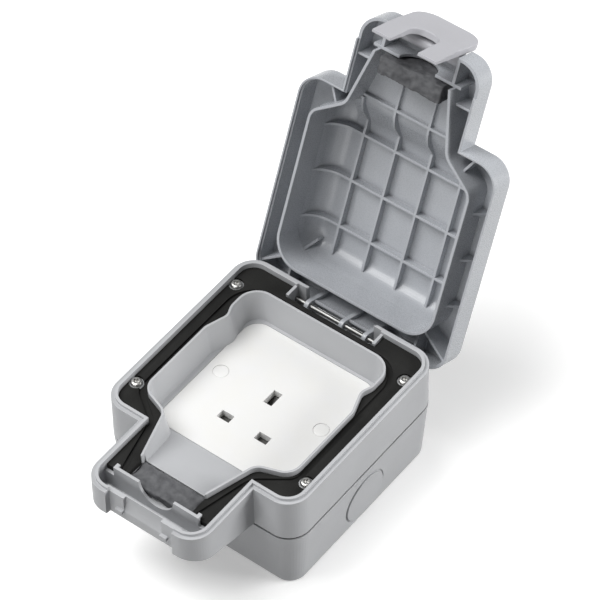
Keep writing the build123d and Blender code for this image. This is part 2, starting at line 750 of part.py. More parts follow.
with BuildPart() as lid:
    with BuildSketch(Plane.XY.offset(lid_rim)):
        body_outline()
    extrude(amount=shelf_top - lid_rim)
    fillet(lid.faces().sort_by(Axis.Z)[-1].edges(), lid_top_round)

    # Dome over the plug space
    with BuildSketch(Plane.XY.offset(shelf_top)):
        with Locations((0, dome_middle)):
            dome_outline(dome_wall)
    extrude(amount=dome_rise, taper=dome_draft)
    fillet(lid.faces().sort_by(Axis.Z)[-1].edges(), dome_round)

    # Skirt with its flat shelf, then the sealing lip below the shelf
    with BuildSketch(Plane.XY.offset(lid_rim)):
        body_outline(lid_wall)
    extrude(amount=shelf_bottom - lid_rim, mode=Mode.SUBTRACT)
    with BuildSketch(Plane.XY.offset(lid_rim)):
        body_outline(lid_wall - rim_rebate)
    extrude(amount=rim_rebate_height, mode=Mode.SUBTRACT)
    with BuildSketch(mode=Mode.PRIVATE) as lip_inside:
        lip_outline(lip_wall)
    with BuildSketch(Plane.XY.offset(lip_bottom)):
        lip_outline()
        add(lip_inside.sketch, mode=Mode.SUBTRACT)
    extrude(amount=shelf_bottom - lip_bottom)
    with BuildSketch(Plane.XY.offset(lip_bottom)):
        with Locations((0, pad_front - cross_wall_y / 2)):
            Rectangle(tongue_width, cross_wall_y)
    extrude(amount=cross_wall_rim - lip_bottom, mode=Mode.SUBTRACT)
    add(dome_hollow.part, mode=Mode.SUBTRACT)

    # Rib grid: deep ribs in the dome, shallow ones in the neck
    add(dome_ribs.part)
    neck_rib_front = pad_back + pad_gap
    with BuildSketch(Plane.XY.offset(neck_rib_bottom)):
        with Locations(*[(x, (dome_front + neck_rib_front) / 2) for x in rib_columns[1:3]]):
            Rectangle(rib_thickness, dome_front - neck_rib_front)
        with Locations((0, neck_rib_row)):
            Rectangle(2 * (lip_neck_half - lip_wall), rib_thickness)
    extrude(amount=neck_rib_height + lid_top / 2)

    # Cross wall with its arch, and the latch bay at the free end
    with BuildSketch(Plane.XY.offset(cross_wall_rim)):
        with Locations((0, -cross_wall_y + cross_wall / 2)):
            Rectangle(2 * cross_wall_half, cross_wall)
        with Locations((0, pad_back + pad_gap + cross_wall / 2)):
            Rectangle(2 * (pad_half_width + cross_wall), cross_wall)
        bay_length = -cross_wall_y - tongue_front
        for side in (-1, 1):
            with Locations((side * (latch_bay_half + lid_wall / 2), -cross_wall_y - bay_length / 2)):
                Rectangle(lid_wall, bay_length)
    extrude(amount=shelf_bottom - cross_wall_rim)
    with BuildSketch(Plane.XZ.offset(cross_wall_y)):
        with Locations((0, cross_wall_rim)):
            Circle(cable_arch_radius)
    extrude(amount=-(cross_wall_y + pad_back + pad_gap + 2 * cross_wall), mode=Mode.SUBTRACT)
    with BuildSketch(Plane.XY.offset(lid_rim)):
        with Locations((0, (tongue_front + latch_slot_back) / 2)):
            Rectangle(2 * latch_bay_half, latch_slot_back - tongue_front)
    extrude(amount=shelf_top - lid_rim, mode=Mode.SUBTRACT)
    with Locations(Location((0, latch_pin_y, latch_pin_z), (0, 90, 0))):
        Cylinder(latch_pin_diameter / 2, 2 * (latch_bay_half + lid_wall), mode=Mode.SUBTRACT)

    # Gussets between the skirt and the lip
    skirt_half = body_half - lid_wall / 2
    with BuildSketch(Plane.XY.offset(lid_rim + gusset_drop)):
        for side in (-1, 1):
            gusset_middle = (lip_half_width - lip_wall / 2 + skirt_half) / 2
            with Locations(*[(side * gusset_middle, share * body_length) for share in gusset_row_shares]):
                Rectangle(skirt_half - lip_half_width + lip_wall / 2, gusset_thickness)
            column_start = lip_back - gusset_column_reach
            with Locations((side * (body_half - gusset_column_margin), (column_start + skirt_half) / 2)):
                Rectangle(gusset_thickness, skirt_half - column_start)
            for x, y, length, slant in slant_gussets:
                with Locations(Location((side * x, y), side * slant)):
                    Rectangle(length, gusset_thickness)
    extrude(amount=shelf_bottom - lid_rim - gusset_drop)

    # Rear edge lifted clear of the ledge, and the hinge arms with a hollow web between them
    with BuildSketch(Plane.XY.offset(lid_rim)):
        with Locations((0, hinge_y + body_length / 2)):
            Rectangle(2 * body_width, body_length)
    extrude(amount=lid_rear_relief, mode=Mode.SUBTRACT)
    for x in hinge_arm_places:
        with BuildSketch(Plane.YZ.offset(x - hinge_arm_thickness / 2)):
            with Locations((hinge_y, hinge_z)):
                Circle(hinge_eye_radius)
            with BuildLine():
                Polyline(
                    (hinge_y - hinge_eye_radius, hinge_z),
                    (hinge_y - hinge_eye_radius, shelf_bottom),
                    (body_length / 2 - lid_wall / 2, shelf_bottom),
                    (body_length / 2 - lid_wall / 2, lid_rim + lid_rear_relief),
                    (hinge_y + hinge_eye_radius, hinge_z),
                    close=True,
                )
            make_face()
        extrude(amount=hinge_arm_thickness)
    web_front = hinge_y - hinge_eye_radius
    web_bottom = hinge_z + hinge_eye_radius
    web_middle = (web_bottom + shelf_bottom) / 2
    with BuildSketch(Plane.YZ.offset(hinge_arm_places[0])):
        with BuildLine():
            for y in (web_front, web_front + lid_wall):
                ThreePointArc((y, web_bottom), (y + hinge_web_sag, web_middle), (y, shelf_bottom))
            for z in (web_bottom, shelf_bottom):
                Line((web_front, z), (web_front + lid_wall, z))
        make_face()
    extrude(amount=hinge_arm_places[-1] - hinge_arm_places[0])
    with Locations(Location((0, hinge_y, hinge_z), (0, 90, 0))):
        Cylinder(hinge_pin_diameter / 2 + running_clearance, 2 * hinge_bay_half, mode=Mode.SUBTRACT)
save(lid.part.rotate(hinge_axis, -lid_open_angle), "lid")

with BuildPart() as upper_cable_pad:
    with BuildSketch(Plane.XY.offset(pad_face + pad_lid_gap)):
        with Locations((0, (pad_front + pad_back) / 2)):
            Rectangle(2 * (pad_half_width - pad_gap), pad_length)
    extrude(amount=shelf_bottom - pad_face - pad_lid_gap)
    fillet(upper_cable_pad.faces().sort_by(Axis.Z)[0].edges(), pad_round)
save(upper_cable_pad.part.rotate(hinge_axis, -lid_open_angle), "upper_cable_pad")

with BuildPart() as latch_pin:
    with BuildSketch(Plane.YZ.offset(-latch_bay_half - lid_wall)):
        with Locations((latch_pin_y, latch_pin_z)):
            Circle(latch_pin_diameter / 2)
    extrude(amount=2 * (latch_bay_half + lid_wall))
save(latch_pin.part.rotate(hinge_axis, -lid_open_angle), "latch_pin")

# Latch, modelled hooked under the frame, then swung clear and opened with the lid
with BuildPart() as latch:
    with BuildSketch(Plane.XZ.offset(-latch_back)) as latch_face:
        with Locations((0, latch_tip + latch_height / 2)):
            Rectangle(latch_width, latch_height)
        fillet(latch_face.vertices().group_by(Axis.Y)[-1], latch_corner)
        with Locations((0, latch_tip)):
            notch_size = (latch_notch_width, 2 * latch_notch_depth)
            RectangleRounded(*notch_size, latch_notch_round, mode=Mode.SUBTRACT)
    extrude(amount=latch_thickness)
    fillet(latch.faces().sort_by(Axis.Y)[0].edges(), latch_round)
    latch_front = latch_back - latch_thickness
    with BuildSketch(Plane.YZ):
        with BuildLine():
            Polyline(
                (latch_front, latch_tip + latch_wedge_length),
                (latch_back - latch_tip_thickness, latch_tip),
                (latch_front, latch_tip),
                close=True,
            )
        make_face()
    extrude(amount=latch_width / 2, both=True, mode=Mode.SUBTRACT)
    with BuildSketch(Plane.XZ.offset(-latch_back)):
        barb_middle = hook_bottom - latch_barb_gap - latch_barb_height / 2
        with Locations(*[(side * hook_place, barb_middle) for side in (-1, 1)]):
            Rectangle(2 * hook_half_width, latch_barb_height)
    extrude(amount=-latch_barb)
    for side in (-1, 1):
        with BuildSketch(Plane.YZ.offset(side * latch_lug_place - latch_lug_thickness / 2)):
            with Locations((latch_pin_y, latch_pin_z)):
                Circle(latch_lug_radius)
            with Locations(((latch_back + latch_pin_y) / 2, latch_pin_z)):
                Rectangle(latch_pin_y - latch_back, 2 * latch_lug_radius)
        extrude(amount=latch_lug_thickness)
    with Locations(Location((0, latch_pin_y, latch_pin_z), (0, 90, 0))):
        Cylinder(latch_lug_radius, 2 * latch_lug_place)
        Cylinder(latch_pin_diameter / 2 + running_clearance, latch_width, mode=Mode.SUBTRACT)
save(latch.part.rotate(latch_axis, -latch_swing_clear).rotate(hinge_axis, -lid_open_angle), "latch")

# Socket front
with BuildPart() as socket_plate:
    with BuildSketch(Plane.XY.offset(plate_back)):
        window_outline(plate_flange)
    extrude(amount=flange_bottom - plate_gap - plate_back)
    with BuildSketch(Plane.XY.offset(plate_back)):
        window_outline(-plate_gap)
    extrude(amount=plate_thickness)
    with BuildSketch(Plane.XY.offset(plate_face)):
        with Locations(*pin_sites[:2]):
            Rectangle(*power_slot)
        with Locations(pin_sites[2]):
            Rectangle(*earth_slot)
    extrude(amount=-plate_thickness, mode=Mode.SUBTRACT)
    with Locations(*[(x, y, plate_face) for x, y in fixing_sites]):
        cap_bore_depth = cap_thickness + plate_screw_head_height
        CounterBoreHole(plate_screw_diameter / 2 + running_clearance, cap_diameter / 2, cap_bore_depth)
    with BuildSketch(Plane.XY.offset(plate_back)):
        with Locations(*base_screw_sites):
            Circle(base_screw_diameter / 2)
    extrude(amount=base_screw_bite, mode=Mode.SUBTRACT)
save(socket_plate.part, "socket_plate")

with BuildPart() as screw_cap:
    Cylinder(cap_diameter / 2, cap_thickness, align=(Align.CENTER, Align.CENTER, Align.MAX))
with BuildPart() as plate_screw:
    pan_screw(plate_screw_head, plate_screw_head_height, plate_screw_diameter, plate_screw_length)
for side, (x, y) in zip(("left", "right"), fixing_sites):
    save(screw_cap.part.moved(Location((x, y, plate_face))), f"screw_cap_{side}")
    seat = plate_face - cap_thickness - plate_screw_head_height
    save(plate_screw.part.moved(Location((x, y, seat))), f"plate_screw_{side}")

# Socket base with pockets for the contacts and a slideway for the shutter
contact_turns = (180, 0, 90)
contact_frames = [
    Location((x, y, contact_seat), (0, 0, turn)) for (x, y), turn in zip(pin_sites, contact_turns)
]
with BuildPart() as socket_base:
    with BuildSketch(Plane.XY.offset(base_bottom)):
        with Locations((0, (base_front + base_back) / 2)):
            RectangleRounded(2 * base_half_width, base_back - base_front, base_corner)
    extrude(amount=base_depth)
    with BuildSketch(Plane.XY.offset(plate_back)):
        with Locations((0, (shutter_front - shutter_gap + spring_end) / 2)):
            Rectangle(2 * (shutter_half_width + shutter_gap), spring_end - shutter_front + shutter_gap)
    extrude(amount=-shutter_depth, mode=Mode.SUBTRACT)
    pocket_length = contact_width + terminal_block[0] + 2 * contact_pocket_gap
    pocket_width = terminal_block[1] + 2 * contact_pocket_gap
    for place in contact_frames:
        with Locations(place * Location((terminal_block[0] / 2, 0, 0))):
            Box(
                pocket_length,
                pocket_width,
                shutter_floor - contact_seat,
                align=(Align.CENTER, Align.CENTER, Align.MIN),
                mode=Mode.SUBTRACT,
            )
        with Locations(place * Location((terminal_place, 0, 0))):
            Hole(terminal_screw_head / 2 + contact_pocket_gap, contact_floor)
    with Locations(*[(x, y, plate_back) for x, y in base_screw_sites]):
        Hole(base_screw_diameter / 2 + running_clearance, base_depth)
save(socket_base.part, "socket_base")

with BuildPart() as contact:
    Box(
        contact_width,
        contact_gap + 2 * contact_wall,
        contact_height,
        align=(Align.CENTER, Align.CENTER, Align.MIN),
    )
    with Locations((0, 0, contact_wall)):
        Box(
            contact_width,
            contact_gap,
            contact_height,
            align=(Align.CENTER, Align.CENTER, Align.MIN),
            mode=Mode.SUBTRACT,
        )
    with Locations((terminal_place, 0, 0)):
        Box(*terminal_block, align=(Align.CENTER, Align.CENTER, Align.MIN))
    with Locations(Location((terminal_place, 0, 0), (180, 0, 0))):
        Hole(terminal_screw_diameter / 2, terminal_screw_length)
with BuildPart() as terminal_screw:
    pan_screw(
        terminal_screw_head, terminal_screw_head_height, terminal_screw_diameter, terminal_screw_length
    )
upside_down = Location((0, 0, 0), (180, 0, 0))
for pole, place in zip(("live", "neutral", "earth"), contact_frames):
    save(contact.part.moved(place), f"{pole}_contact")
    screw_place = place * Location((terminal_place, 0, 0)) * upside_down
    save(terminal_screw.part.moved(screw_place), f"{pole}_terminal_screw")

with BuildPart() as base_screw:
    pan_screw(
        base_screw_head, base_screw_head_height, base_screw_diameter, base_depth + base_screw_bite
    )
for side, (x, y) in zip(("left", "right"), base_screw_sites):
    save(base_screw.part.moved(Location((x, y, base_bottom)) * upside_down), f"base_screw_{side}")

# Safety shutter behind the live and neutral slots, and its return spring
with BuildPart() as shutter:
    with BuildSketch(Plane.XY.offset(shutter_floor + shutter_gap)):
        with Locations((0, (shutter_front + shutter_back) / 2)):
            Rectangle(2 * shutter_half_width, shutter_back - shutter_front)
        with Locations(*[(x, y - shutter_travel) for x, y in pin_sites[:2]]):
            Rectangle(*shutter_window, mode=Mode.SUBTRACT)
        with Locations((0, pin_sites[2][1] - shutter_travel)):
            Rectangle(earth_slot[0] + 2 * shutter_gap, earth_slot[1] + 2 * shutter_gap, mode=Mode.SUBTRACT)
    extrude(amount=shutter_thickness)
    earth_edge = pin_sites[2][1] - shutter_travel + earth_slot[1] / 2 + shutter_gap
    with BuildSketch(Plane.YZ):
        with BuildLine():
            Polyline(
                (earth_edge, shutter_floor + 2 * shutter_gap),
                (earth_edge + shutter_travel, shutter_floor + shutter_depth),
                (earth_edge, shutter_floor + shutter_depth),
                close=True,
            )
        make_face()
    extrude(amount=earth_slot[0] / 2 + shutter_gap, both=True, mode=Mode.SUBTRACT)
save(shutter.part, "shutter")

with BuildPart() as shutter_spring:
    spring_length = spring_room - spring_wire - 2 * spring_gap
    spring_pitch = spring_length / spring_turns
    spring_height = shutter_floor + shutter_depth / 2
    spring_start = (spring_place, shutter_back + spring_gap + spring_wire / 2, spring_height)
    with BuildLine() as coil:
        Helix(spring_pitch, spring_length, spring_radius, center=spring_start, direction=(0, 1, 0))
    with BuildSketch(Plane(origin=coil.line @ 0, z_dir=coil.line % 0)):
        Circle(spring_wire / 2)
    sweep(path=coil.line, is_frenet=True)
save(shutter_spring.part, "shutter_spring")
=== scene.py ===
# %% [markdown]
# # An outdoor weatherproof socket
# The object is a grey plastic wall box with a hinged, gasketed lid over a white three-pin
# socket. Its solids come from the CAD model, already at their real size and place, in metres.
# Blender's work here is the finish: the moulded grain of the plastic, the soft rubber and
# sponge, the steel, the curved ribs inside the lid, and the camera and light of a product
# photograph.

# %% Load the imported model
import json
import math

import bpy
from mathutils import Matrix, Vector


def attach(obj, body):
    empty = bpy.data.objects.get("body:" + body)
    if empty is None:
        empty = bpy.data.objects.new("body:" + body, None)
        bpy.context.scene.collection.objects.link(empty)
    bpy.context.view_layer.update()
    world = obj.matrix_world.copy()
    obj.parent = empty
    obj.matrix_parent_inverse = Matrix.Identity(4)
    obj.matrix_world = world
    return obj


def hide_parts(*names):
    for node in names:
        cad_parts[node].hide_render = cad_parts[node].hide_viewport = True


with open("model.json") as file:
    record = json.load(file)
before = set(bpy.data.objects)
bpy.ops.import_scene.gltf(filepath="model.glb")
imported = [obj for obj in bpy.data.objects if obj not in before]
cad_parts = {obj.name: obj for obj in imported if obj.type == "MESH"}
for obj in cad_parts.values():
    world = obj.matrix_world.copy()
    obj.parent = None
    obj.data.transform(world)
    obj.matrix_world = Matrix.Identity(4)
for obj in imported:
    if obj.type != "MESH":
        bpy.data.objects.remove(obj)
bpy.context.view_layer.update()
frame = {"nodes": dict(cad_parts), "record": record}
nodes = frame["nodes"]

# %% [markdown]
# ## Camera
# A product photograph is taken from far away with a long lens, so the box keeps its parallel
# edges. The camera could be aimed by eye, but that drifts. Its three axes are given directly
# as the columns of a rotation matrix, because that is exact.

# %% Long-lens camera above the front right corner
camera_data = bpy.data.cameras.new("studio_camera")
camera_data.lens = 227.0
camera_data.sensor_width = 36.0
camera = bpy.data.objects.new("studio_camera", camera_data)
bpy.context.scene.collection.objects.link(camera)
camera_right = Vector((0.79451, 0.60710, -0.01386))
camera_up = Vector((-0.45147, 0.60579, 0.65516))
camera_back = Vector((0.40614, -0.51426, 0.75538))
camera_place = Vector((0.7192, -0.8869, 1.4355))
camera_turn = Matrix((camera_right, camera_up, camera_back)).transposed().to_4x4()
camera.matrix_world = Matrix.Translation(camera_place) @ camera_turn
bpy.context.scene.camera = camera
print("camera at", [round(c, 3) for c in camera.location])

# %% [markdown]
# ## Floor and light
# The box lies on a white table in a photo tent. The key is a large soft panel high on the
# left: it leaves the inner walls that face right in shade, and draws the long highlight where
# the lid's floor curves up. Two weaker panels, low on the right and in front, model the side
# walls. The table glows a little, as a lit paper sweep does, so that it stays white to the edge
# of the picture. It throws no light back, because the photograph has dark undersides.

# %% White table
table_size = 12.0
bpy.ops.object.select_all(action="DESELECT")
bpy.ops.mesh.primitive_plane_add(size=table_size, location=(0, 0, 0))
table = bpy.context.object
table.name = "table"
table_finish = bpy.data.materials.new("white_table")
table_finish.use_nodes = True
table_shader = table_finish.node_tree.nodes["Principled BSDF"]
table_shader.inputs["Base Color"].default_value = (0.93, 0.93, 0.925, 1)
table_shader.inputs["Roughness"].default_value = 0.9
table_shader.inputs["Specular IOR Level"].default_value = 0.1
table_shader.inputs["Emission Color"].default_value = (1, 1, 1, 1)
table_shader.inputs["Emission Strength"].default_value = 0.25
table.data.materials.append(table_finish)
table.visible_diffuse = False
print("a white table", table_size, "metres wide")


# %% Three soft panels
def soft_panel(name, place, target, size, power):
    """A square area light that faces a target."""
    light = bpy.data.lights.new(name, "AREA")
    light.shape = "SQUARE"
    light.size = size
    light.energy = power
    panel = bpy.data.objects.new(name, light)
    bpy.context.scene.collection.objects.link(panel)
    panel.location = place
    panel.rotation_euler = (Vector(target) - Vector(place)).to_track_quat("-Z", "Y").to_euler()
    print(name, size, "metres wide,", power, "watts")


soft_panel("key_panel", place=(-0.75, -0.4, 1.9), target=(0, 0.02, 0.05), size=1.5, power=47.0)
soft_panel("side_panel", place=(1.3, 0.9, 0.6), target=(0, 0, 0.08), size=0.9, power=26.0)
soft_panel("front_panel", place=(0.15, -1.7, 0.35), target=(0, 0, 0.08), size=1.0, power=11.0)

# %% A dim white world
world = bpy.data.worlds.new("photo_tent")
bpy.context.scene.world = world
world.use_nodes = True
tent_glow = world.node_tree.nodes["Background"].inputs
tent_glow["Color"].default_value = (1, 1, 1, 1)
tent_glow["Strength"].default_value = 0.12
bpy.context.scene.view_settings.view_transform = "Standard"
print("the tent glows at", round(tent_glow["Strength"].default_value, 2))

# %% [markdown]
# ## Moulded plastic
# The housing is injection moulded against a spark-eroded tool, which leaves a fine even
# grain. A picture of grain would have to be unwrapped onto every piece. Noise that reads
# Object coordinates needs no unwrapping and has the same scale everywhere: grains of about
# half a millimetre for the bump, and patches as broad as a thumb for the faint flow marks in
# the colour. A bevel lookup finds the edges, which are rounded a little, and a painted
# highlight makes them paler in the colour.

# %% A node material, its noise, and the range of the noise
noise_low, noise_high = 0.3, 0.7


def start_finish(name):
    """A new node material; returns it with its tree, its shader and its Object coordinates."""
    finish = bpy.data.materials.new(name)
    finish.use_nodes = True
    tree = finish.node_tree
    place = tree.nodes.new("ShaderNodeTexCoord").outputs["Object"]
    return finish, tree, tree.nodes["Principled BSDF"], place


def noise(tree, coordinates, size, detail, stretch=(1, 1, 1)):
    """Noise whose features are about size metres across, longer along axes stretched above 1."""
    mapping = tree.nodes.new("ShaderNodeMapping")
    mapping.inputs["Scale"].default_value = [1 / (size * s) for s in stretch]
    tree.links.new(coordinates, mapping.inputs["Vector"])
    texture = tree.nodes.new("ShaderNodeTexNoise")
    texture.inputs["Scale"].default_value = 1.0
    texture.inputs["Detail"].default_value = detail
    tree.links.new(mapping.outputs["Vector"], texture.inputs["Vector"])
    return texture.outputs["Fac"]


def spread(tree, value, low, high):
    """Map the middle range of a noise onto low to high."""
    span = tree.nodes.new("ShaderNodeMapRange")
    span.inputs["From Min"].default_value = noise_low
    span.inputs["From Max"].default_value = noise_high
    span.inputs["To Min"].default_value = low
    span.inputs["To Max"].default_value = high
    tree.links.new(value, span.inputs["Value"])
    return span.outputs["Result"]


print("noise is used between", noise_low, "and", noise_high)

# %% Colour mix and soft edges
bevel_samples = 6
edge_turn = 0.72


def mix_colour(tree, factor, first, second):
    """Colour that runs from first to second; each is a socket or an RGB value."""
    mix = tree.nodes.new("ShaderNodeMix")
    mix.data_type = "RGBA"
    tree.links.new(factor, mix.inputs["Factor"])
    for socket, colour in ((mix.inputs[6], first), (mix.inputs[7], second)):
        if isinstance(colour, bpy.types.NodeSocket):
            tree.links.new(colour, socket)
        else:
            socket.default_value = (*colour, 1)
    return mix.outputs[2]


def rounded_normal(tree, radius):
    """The normal of the surface as if each edge were rounded by a radius."""
    rounding = tree.nodes.new("ShaderNodeBevel")
    rounding.samples = bevel_samples
    rounding.inputs["Radius"].default_value = radius
    return rounding.outputs["Normal"]


def edge_highlight_mask(tree, rounded, strength):
    """0 on flat faces, up to strength where the rounded normal turns away at an edge."""
    flat = tree.nodes.new("ShaderNodeNewGeometry")
    dot = tree.nodes.new("ShaderNodeVectorMath")
    dot.operation = "DOT_PRODUCT"
    tree.links.new(rounded, dot.inputs[0])
    tree.links.new(flat.outputs["Normal"], dot.inputs[1])
    edge_highlight_amount = tree.nodes.new("ShaderNodeMapRange")
    edge_highlight_amount.inputs["From Min"].default_value = 1.0
    edge_highlight_amount.inputs["From Max"].default_value = edge_turn
    edge_highlight_amount.inputs["To Max"].default_value = strength
    tree.links.new(dot.outputs["Value"], edge_highlight_amount.inputs["Value"])
    return edge_highlight_amount.outputs["Result"]


print("an edge is full where its normal turns by", round(math.degrees(math.acos(edge_turn))), "degrees")


# %% Bump, and the grained housing plastic in three shades
def bump(tree, shader, height, distance, strength, normal=None):
    """Drive the shader's normal with a height from 0 to 1, which stands for a distance in metres."""
    node = tree.nodes.new("ShaderNodeBump")
    node.inputs["Distance"].default_value = distance
    node.inputs["Strength"].default_value = strength
    tree.links.new(height, node.inputs["Height"])
    if normal is not None:
        tree.links.new(normal, node.inputs["Normal"])
    tree.links.new(node.outputs["Normal"], shader.inputs["Normal"])


flow_mark_size = 0.03
flow_mark_dark, flow_mark_light = 0.955, 1.04
mould_grain_size = 0.0005
mould_grain_depth = 0.00006
moulded_edge = 0.00035


def moulded_plastic(name, shade, painted_edge_highlight, roughness):
    """Fine-grained thermoplastic with faint flow marks and a painted highlight along its edges."""
    finish, tree, shader, place = start_finish(name)
    flow = noise(tree, place, flow_mark_size, 4.0)
    darker = [c * flow_mark_dark for c in shade]
    lighter = [c * flow_mark_light for c in shade]
    body = mix_colour(tree, spread(tree, flow, 0, 1), darker, lighter)
    rounded = rounded_normal(tree, moulded_edge)
    edge_highlight_amount = edge_highlight_mask(tree, rounded, 0.55)
    # painted highlight: the colour turns paler along the edges, where a rounded edge would catch the light
    tree.links.new(mix_colour(tree, edge_highlight_amount, body, painted_edge_highlight), shader.inputs["Base Color"])
    grain = noise(tree, place, mould_grain_size, 2.0)
    tree.links.new(spread(tree, grain, roughness - 0.05, roughness + 0.06), shader.inputs["Roughness"])
    bump(tree, shader, grain, mould_grain_depth, 0.35, rounded)
    print(name, "roughness", roughness)
    return finish


# the second colour of each plastic is its painted edge highlight
housing_grey = moulded_plastic("housing_grey", (0.436, 0.443, 0.456), (0.615, 0.625, 0.645), 0.46)
lid_grey = moulded_plastic("lid_grey", (0.41, 0.425, 0.45), (0.60, 0.61, 0.63), 0.28)
latch_light = moulded_plastic("latch_light", (0.43, 0.43, 0.455), (0.56, 0.56, 0.58), 0.46)

# %% [markdown]
# ## White socket front
# The socket front is pressed from a hard thermoset, which comes out of a polished tool smooth
# and a little glossy. A plain white would look like paper. A faint warm cloud in the colour and
# a broad, very shallow orange peel in the gloss are enough to make it a moulding.

# %% Smooth white socket front
cloud_size = 0.012
warm_tint = (1, 0.995, 0.975)
peel_size = 0.005
peel_depth = 0.00002
pressed_edge = 0.0004


def socket_front(name, shade):
    """Hard thermoset: smooth and a little glossy, with the faintest orange peel."""
    finish, tree, shader, place = start_finish(name)
    cloud = noise(tree, place, cloud_size, 3.0)
    warm = [c * tint for c, tint in zip(shade, warm_tint)]
    tree.links.new(mix_colour(tree, spread(tree, cloud, 0, 1), shade, warm), shader.inputs["Base Color"])
    peel = noise(tree, place, peel_size, 1.0)
    tree.links.new(spread(tree, peel, 0.29, 0.33), shader.inputs["Roughness"])
    bump(tree, shader, peel, peel_depth, 0.08, rounded_normal(tree, pressed_edge))
    print(name, "shade", shade)
    return finish


socket_white = socket_front("socket_white", (0.75, 0.75, 0.745))
inner_white = socket_front("inner_white", (0.62, 0.615, 0.60))
# painted shade: the shutter is near black so that the slots in the white front look shaded
slot_shade_shutter = socket_front("slot_shade_shutter", (0.06, 0.058, 0.055))

# %% [markdown]
# ## Rubber and sponge
# The seals are black rubber, and the cable pads are a grey sponge that is a little dusty. Both
# are matt and take their look from two scales: broad patches of bloom in the colour, and a close
# grain in the bump. One recipe with other sizes serves for both.


# %% Rubber of the seals and sponge of the cable pads
def rubber(name, shade, dusty, bloom_size, grain_size, grain_depth, roughness):
    """Matt elastomer with a close grain and patches of bloom."""
    finish, tree, shader, place = start_finish(name)
    bloom = noise(tree, place, bloom_size, 5.0)
    tree.links.new(mix_colour(tree, spread(tree, bloom, 0, 1), shade, dusty), shader.inputs["Base Color"])
    grain = noise(tree, place, grain_size, 3.0)
    tree.links.new(spread(tree, grain, roughness - 0.08, roughness + 0.08), shader.inputs["Roughness"])
    shader.inputs["Specular IOR Level"].default_value = 0.2
    bump(tree, shader, grain, grain_depth, 0.5)
    print(name, "with bloom of", bloom_size * 1000, "mm")
    return finish


seal_rubber = rubber(
    "seal_rubber",
    shade=(0.010, 0.010, 0.0095),
    dusty=(0.017, 0.017, 0.016),
    bloom_size=0.014,
    grain_size=0.0004,
    grain_depth=0.00008,
    roughness=0.7,
)
pad_rubber = rubber(
    "pad_rubber",
    shade=(0.072, 0.073, 0.078),
    dusty=(0.135, 0.137, 0.143),
    bloom_size=0.004,
    grain_size=0.0012,
    grain_depth=0.0004,
    roughness=0.74,
)

# %% [markdown]
# ## Steel and brass
# Pins and screws are made from drawn wire, and the contacts from rolled strip, so all have fine
# lines and a little tarnish. An anisotropic shader could smear the highlight along the lines. A
# noise stretched along X does that in the roughness and the bump, and the lines can be seen from
# close by.

# %% Steel and brass
drawing_line_width = 0.00025
drawing_line_stretch = (40, 1, 1)
drawing_line_depth = 0.00002
tarnish_size = 0.006


def drawn_metal(name, shade, dull, roughness):
    """Bright metal with fine drawing lines along X."""
    finish, tree, shader, place = start_finish(name)
    shader.inputs["Metallic"].default_value = 1.0
    lines = noise(tree, place, drawing_line_width, 2.0, drawing_line_stretch)
    tarnish = noise(tree, place, tarnish_size, 4.0)
    tree.links.new(mix_colour(tree, spread(tree, tarnish, 0, 1), shade, dull), shader.inputs["Base Color"])
    tree.links.new(spread(tree, lines, roughness - 0.07, roughness + 0.07), shader.inputs["Roughness"])
    bump(tree, shader, lines, drawing_line_depth, 0.3)
    print(name, "roughness", roughness)
    return finish


stainless = drawn_metal("stainless", (0.62, 0.615, 0.60), (0.5, 0.495, 0.48), 0.34)
pin_steel = drawn_metal("pin_steel", (0.30, 0.30, 0.295), (0.22, 0.22, 0.215), 0.42)
zinc_steel = drawn_metal("zinc_steel", (0.74, 0.75, 0.78), (0.62, 0.64, 0.68), 0.32)
brass = drawn_metal("brass", (0.83, 0.62, 0.28), (0.66, 0.47, 0.2), 0.28)

# %% [markdown]
# ## A finish for each piece
# Every piece is made of one material, so each CAD piece takes one finish all over. The pieces
# could be listed one by one, but like pieces share the start of their name, so the longest start
# that fits picks the finish.

# %% Give every CAD piece its finish
finishes = {
    "back_box": housing_grey,
    "front_frame": housing_grey,
    "lid": lid_grey,
    "latch": latch_light,
    "socket_plate": socket_white,
    "screw_cap": socket_white,
    "socket_base": inner_white,
    "shutter_spring": stainless,
    "shutter": slot_shade_shutter,
    "box_seal": seal_rubber,
    "lid_seal": seal_rubber,
    "lower_cable_pad": pad_rubber,
    "upper_cable_pad": pad_rubber,
    "hinge_pin": pin_steel,
    "latch_pin": stainless,
    "cover_screw": stainless,
    "plate_screw": zinc_steel,
    "base_screw": zinc_steel,
    "live": brass,
    "neutral": brass,
    "earth": brass,
}
for name, node in nodes.items():
    stem = max((s for s in finishes if name.startswith(s)), key=len)
    node.data.materials.clear()
    node.data.materials.append(finishes[stem])
    node.data.shade_flat()
print("finished", len(nodes), "CAD pieces")

# %% [markdown]
# ## Gaskets
# Two black rubber gaskets keep the water out: a thin one between the box and the frame, and a
# broad one round the well, with a groove that the lid's lip sinks into. Moulded rubber has no
# sharp edge. Each gasket could be drawn afresh, but its outline has to fit the frame exactly,
# so it starts from a copy of the CAD solid, and its edges are then rounded by a bevel.

# %% Copy of a CAD piece, merged and open in edit mode
merge_distance = 0.000002


def copy_to_rework(source, name, body):
    """A copy of a CAD piece that stands for it, merged into one skin, selected in edit mode."""
    bpy.ops.object.select_all(action="DESELECT")
    piece = bpy.data.objects.new(name, nodes[source].data.copy())
    bpy.context.scene.collection.objects.link(piece)
    bpy.context.view_layer.objects.active = piece
    piece.select_set(True)
    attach(piece, body)
    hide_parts(source)
    bpy.ops.object.mode_set(mode="EDIT")
    bpy.ops.mesh.select_all(action="SELECT")
    bpy.ops.mesh.remove_doubles(threshold=merge_distance)
    print(name, "starts from", len(piece.data.polygons), "triangles of", source)
    return piece


# %% Two rounded gaskets
flat_angle = math.radians(1)
sharp_angle = math.radians(50)
smooth_angle = math.radians(35)


